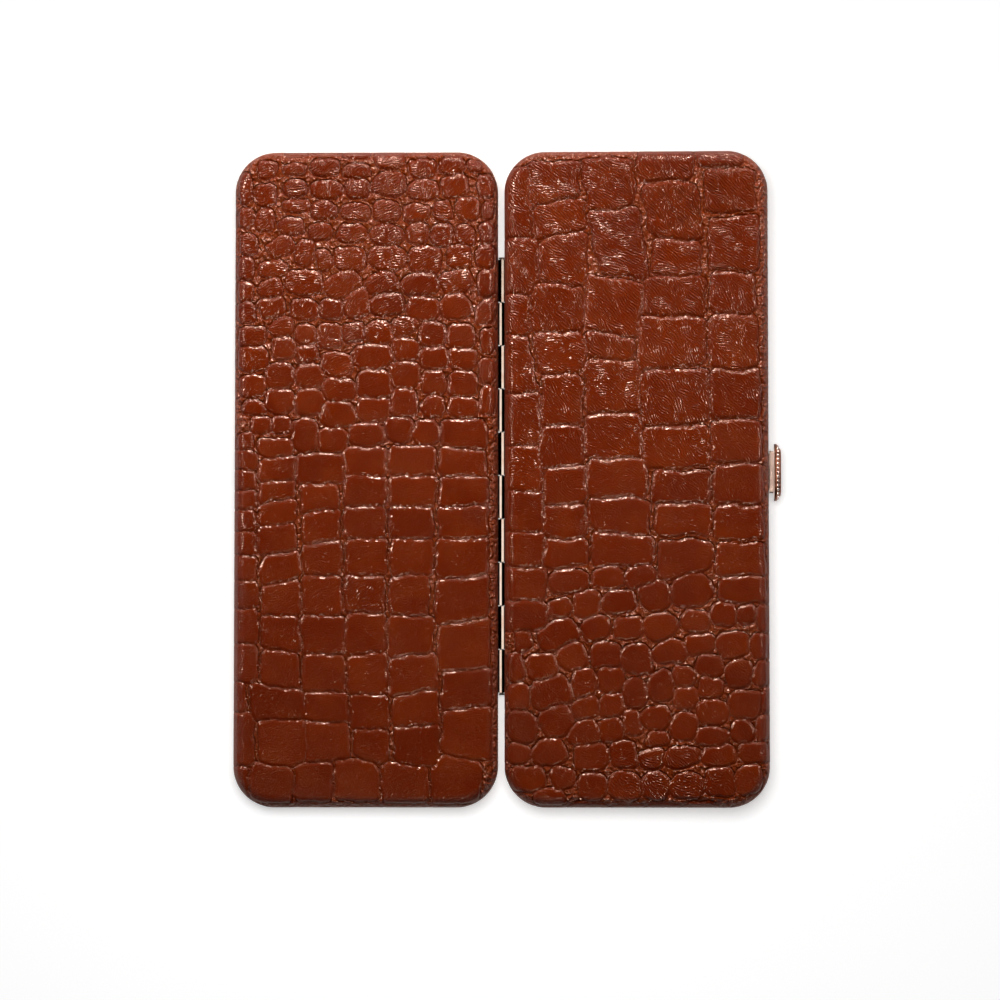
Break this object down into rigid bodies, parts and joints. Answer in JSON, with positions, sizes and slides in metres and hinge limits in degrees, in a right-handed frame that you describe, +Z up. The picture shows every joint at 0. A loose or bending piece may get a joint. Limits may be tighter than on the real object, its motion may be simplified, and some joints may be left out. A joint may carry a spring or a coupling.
{
  "type": "framed manicure set case",
  "caption": "Slim hinged hard case for manicure tools, leather covered, open with both outer faces up, with a sprung clasp.",
  "frame": {"origin": "centre of the open case's footprint, on the table it lies on", "axes": "+Y along the hinge, away from the viewer in the picture; +X towards the half that carries the clasp; +Z up, out of the leather faces"},
  "size_m": [0.1336, 0.16, 0.0122],
  "materials": {
    "cover_leather": "chestnut brown leather with a croc embossing, semi-gloss",
    "shell_board": "moulded hard board, matt",
    "plated_metal": "pale rose gold plating, satin",
    "hinge_metal": "pale rose gold plating, rolled, polished knuckles",
    "clasp_metal": "pale rose gold plating, brushed",
    "ornament_metal": "pale rose gold plating over a cast relief, darkened in its hollows",
    "pin_steel": "drawn steel",
    "spring_steel": "drawn spring wire",
    "lining_suede": "flocked suede cloth, matt",
    "pocket_leather": "thin smooth leather, satin",
    "elastic_webbing": "woven elastic, ribbed"
  },
  "bodies": {
    "right_half": {"right_leather_cover": "cover_leather", "right_shell": "shell_board", "right_frame": "plated_metal", "right_lining": "lining_suede", "right_hinge_leaf": "hinge_metal", "right_hinge_rivets": "hinge_metal", "hinge_pin": "pin_steel", "pocket_panel": "pocket_leather", "clasp_bracket": "clasp_metal", "clasp_bracket_rivets": "clasp_metal", "clasp_pin": "pin_steel", "clasp_spring": "spring_steel"},
    "left_half": {"left_leather_cover": "cover_leather", "left_shell": "shell_board", "left_frame": "plated_metal", "left_lining": "lining_suede", "left_hinge_leaf": "hinge_metal", "left_hinge_rivets": "hinge_metal", "strike_plate": "hinge_metal", "tool_board": "lining_suede", "upper_elastic_band": "elastic_webbing", "lower_elastic_band": "elastic_webbing"},
    "clasp": {"clasp_lever": "clasp_metal", "clasp_plate": "ornament_metal", "clasp_plate_rivets": "clasp_metal"}
  },
  "joints": [
    {"name": "case_hinge", "type": "hinge", "parent": "right_half", "child": "left_half", "pos_m": [-0.00165, 0.001, 0.001], "axis": [0, -1, 0], "range_deg": [-14, 181.11]},
    {"name": "clasp_hinge", "type": "hinge", "parent": "right_half", "child": "clasp", "pos_m": [0.06413, 0.0016, 0.00565], "axis": [0, -1, 0], "range_deg": [0, 13], "stiffness_Nm_per_rad": 0.004, "springref_deg": -45.84, "deforming": ["clasp_spring"]}
  ]
}
